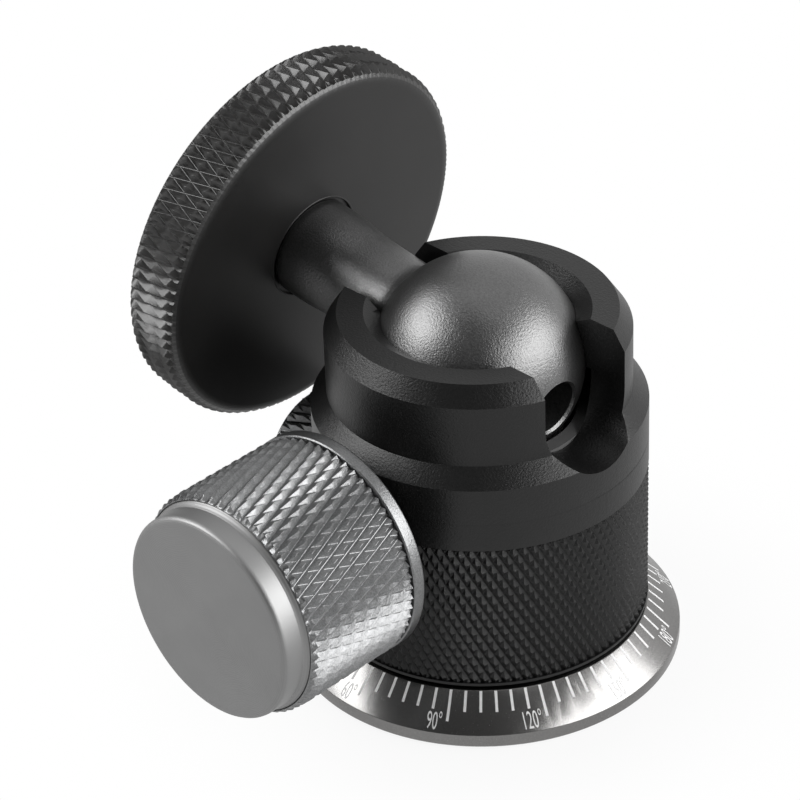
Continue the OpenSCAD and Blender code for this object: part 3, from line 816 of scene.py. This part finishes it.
def makeBarrelKnurl(values):
    bm = bmesh.new()
    low, high = knurlBand(bm, values)
    insideLow = Vector((values["inside"], values["low"]))
    insideHigh = Vector((values["inside"], values["high"]))
    carryRing(bm, low, [insideLow, insideHigh])
    carryRing(bm, high, [insideHigh])
    bmesh.ops.remove_doubles(bm, verts=bm.verts, dist=weld)
    finishPiece("barrelKnurl", bm, upright, "head", [housingBlack])


makeBarrelKnurl(barrelKnurl)

# the dial: the frame's own solid with its edges broken, and printed marks

dialBody = {"edge": 0.12, "edgeSegments": 2, "sharpFrom": 20}


def makeDial(values):
    bm = copyNode("base_dial")
    breakEdges(bm, values)
    finishPiece("dialRing", bm, upright, "base", [dialGrey], ["base_dial"])


makeDial(dialBody)

dialMarks = {
    "footRadius": 25.0, "footHeight": 2.0, "topRadius": 20.95, "topHeight": 5.9, "zeroAt": -148,
    "proud": 0.012, "sunk": 0.05, "tickStep": 5, "labelStep": 30,
    "tickWidth": 0.34, "tickInner": 21.0, "tickOuter": 22.9, "longOuter": 23.85,
    "digitHeight": 1.6, "digitMiddle": 23.9, "digitStretch": 0.62, "digitCurve": 3, "labelGap": 1.5,
    "digitShare": 0.7,  # a digit's height as a share of the lettering's size
}


# Puts a flat (across, outward, proud) shape on the dial's slope at an azimuth in degrees
def wrapOnDial(verts, azimuth, values):
    top = Vector((values["topRadius"], values["topHeight"]))
    along = (Vector((values["footRadius"], values["footHeight"])) - top).normalized()
    outward = Vector((-along.y, along.x))
    for vert in verts:
        across, radius, lift = vert.co
        fromTop = (radius - values["topRadius"]) / along.x
        point = top + along * fromTop + outward * lift
        vert.co = polar(point.x, math.radians(azimuth) + across / radius, point.y)


def makeTicks(values):
    bm = bmesh.new()
    thickness = values["proud"] + values["sunk"]
    inner = values["tickInner"]
    for value in range(0, 360, values["tickStep"]):
        outer = values["longOuter"] if value % values["labelStep"] == 0 else values["tickOuter"]
        cube = bmesh.ops.create_cube(bm, size=1)["verts"]
        bmesh.ops.scale(bm, vec=(values["tickWidth"], outer - inner, thickness), verts=cube)
        middle = (0, (outer + inner) / 2, values["proud"] - thickness / 2)
        bmesh.ops.translate(bm, vec=middle, verts=cube)
        wrapOnDial(cube, value + values["zeroAt"], values)
    finishPiece("dialTicks", bm, upright, "base", [markWhite])


makeTicks(dialMarks)


def makeNumbers(values):
    bm = bmesh.new()
    lift = (values["proud"] - values["sunk"]) / 2
    base = values["digitMiddle"] + values["digitHeight"] / 2
    for value in range(0, 360, values["labelStep"]):
        curve = bpy.data.curves.new("label", "FONT")
        curve.body = str(value) + "°"
        curve.size = values["digitHeight"] / values["digitShare"]
        curve.extrude = (values["proud"] + values["sunk"]) / 2
        curve.resolution_u = values["digitCurve"]
        curve.align_x = "RIGHT"
        label = bpy.data.objects.new("label", curve)
        bpy.context.scene.collection.objects.link(label)
        shape = bpy.data.meshes.new_from_object(label)
        before = set(bm.verts)
        bm.from_mesh(shape)
        verts = [vert for vert in bm.verts if vert not in before]
        bpy.data.objects.remove(label)
        bpy.data.meshes.remove(shape)
        bmesh.ops.remove_doubles(bm, verts=verts, dist=fineWeld)
        verts = [vert for vert in bm.verts if vert not in before]
        for vert in verts:
            vert.co = (vert.co.x * values["digitStretch"], base - vert.co.y, vert.co.z + lift)
        wrapOnDial(verts, value + values["zeroAt"] - values["labelGap"], values)
    finishPiece("dialNumbers", bm, upright, "base", [markWhite])


makeNumbers(dialMarks)


# floor and surroundings

stage = {
    "floorSize": 3.0, "floorTone": 0.82, "shadowShare": 0.2, "shadowReach": 0.055,
    "mirroredTone": 0.72, "worldTone": 1.0, "worldLight": 0.1,
}


def addMath(tree, operation, first, second):
    node = tree.nodes.new("ShaderNodeMath")
    node.operation = operation
    tree.links.new(first, node.inputs[0])
    tree.links.new(second, node.inputs[1])
    return node.outputs[0]


# Ends a node tree in a share of one shader and the rest of another
def endInMix(tree, outputKind, share, first, second):
    mix = tree.nodes.new("ShaderNodeMixShader")
    output = tree.nodes.new(outputKind)
    tree.links.new(share, mix.inputs["Fac"])
    tree.links.new(first, mix.inputs[1])
    tree.links.new(second, mix.inputs[2])
    tree.links.new(mix.outputs[0], output.inputs["Surface"])


def makeStage(values):
    material = bpy.data.materials.new("floorPaper")
    material.use_nodes = True
    tree = material.node_tree
    tree.nodes.clear()
    paper = tree.nodes.new("ShaderNodeBsdfDiffuse")
    paper.inputs["Color"].default_value = (*grey(values["floorTone"]), 1)
    glow = tree.nodes.new("ShaderNodeEmission")
    path = tree.nodes.new("ShaderNodeLightPath")
    direct = path.outputs["Is Camera Ray"]
    # the paper shows, with its shadow, only near the object; beyond it the floor is plain white
    coordinates = tree.nodes.new("ShaderNodeTexCoord")
    distance = tree.nodes.new("ShaderNodeVectorMath")
    distance.operation = "LENGTH"
    tree.links.new(coordinates.outputs["Object"], distance.inputs[0])
    fade = addRange(tree, distance.outputs["Value"], 1 - values["shadowShare"], 1)
    fade.interpolation_type = "SMOOTHSTEP"
    fade.inputs["From Max"].default_value = values["shadowReach"]
    tone = addRange(tree, direct, values["mirroredTone"], 1)
    tree.links.new(tone.outputs["Result"], glow.inputs["Strength"])
    seen = addMath(tree, "MAXIMUM", direct, path.outputs["Is Glossy Ray"])
    share = addMath(tree, "MULTIPLY", seen, fade.outputs["Result"])
    endInMix(tree, "ShaderNodeOutputMaterial", share, paper.outputs[0], glow.outputs[0])
    bm = bmesh.new()
    bmesh.ops.create_grid(bm, x_segments=1, y_segments=1, size=values["floorSize"])
    floor = addShape("floor", bm, [material])


def addSky(tree, tone):
    sky = tree.nodes.new("ShaderNodeBackground")
    sky.inputs["Color"].default_value = (*grey(tone), 1)
    return sky.outputs[0]


def makeWorld(values):
    world = bpy.data.worlds.new("studio")
    bpy.context.scene.world = world
    world.use_nodes = True
    tree = world.node_tree
    tree.nodes.clear()
    path = tree.nodes.new("ShaderNodeLightPath")
    light = addSky(tree, values["worldLight"])
    seen = addSky(tree, values["worldTone"])
    endInMix(tree, "ShaderNodeOutputWorld", path.outputs["Is Camera Ray"], light, seen)


# azimuth as in the views, elevation, distance, width and height in metres, brightness
lamps = {
    "rightBox": (115, 22, 0.6, 0.72, 0.4, 5.0),
    "leftBox": (-50, 35, 0.6, 0.48, 0.36, 5.4),
    "backPanel": (195, 25, 0.8, 1.5, 0.8, 0.7),
    "topPanel": (190, 78, 0.7, 0.8, 0.6, 0.7),
}
lampTarget = Vector((0, 0, 0.03))


# The direction from the object towards an azimuth and elevation in degrees
def towards(azimuth, elevation):
    turn, rise = math.radians(azimuth), math.radians(elevation)
    level = math.cos(rise)
    return Vector((math.sin(turn) * level, -math.cos(turn) * level, math.sin(rise)))


def makeLamps(values):
    for name, (azimuth, elevation, distance, width, height, brightness) in values.items():
        light = bpy.data.lights.new(name, "AREA")
        light.shape = "RECTANGLE"
        light.size = width
        light.size_y = height
        light.energy = brightness * math.pi * width * height
        lamp = bpy.data.objects.new(name, light)
        back = towards(azimuth, elevation)
        lamp.location = back * distance + lampTarget
        lamp.rotation_euler = back.to_track_quat("Z", "Y").to_euler()
        bpy.context.scene.collection.objects.link(lamp)


makeStage(stage)
makeWorld(stage)
makeLamps(lamps)
print("floor and lamps placed")

frontCamera = {
    "azimuth": 45.4, "elevation": 32.94, "distance": 444.3, "target": (-6.91, -7.01, 35.34),
    "roll": -2.14, "lens": 162, "sensor": 36, "clipStart": 0.01,
}


def makeCamera(values):
    back = towards(values["azimuth"], values["elevation"])
    data = bpy.data.cameras.new("camera")
    data.lens = values["lens"]
    data.sensor_width = values["sensor"]
    data.clip_start = values["clipStart"]
    camera = bpy.data.objects.new("camera", data)
    camera.location = (Vector(values["target"]) + back * values["distance"]) * mm
    level = (-back).to_track_quat("-Z", "Y").to_matrix().to_4x4()
    roll = Matrix.Rotation(math.radians(values["roll"]), 4, "Z")
    camera.rotation_euler = (level @ roll).to_euler()
    bpy.context.scene.collection.objects.link(camera)
    bpy.context.scene.camera = camera


makeCamera(frontCamera)
bpy.context.scene.view_settings.view_transform = "Standard"
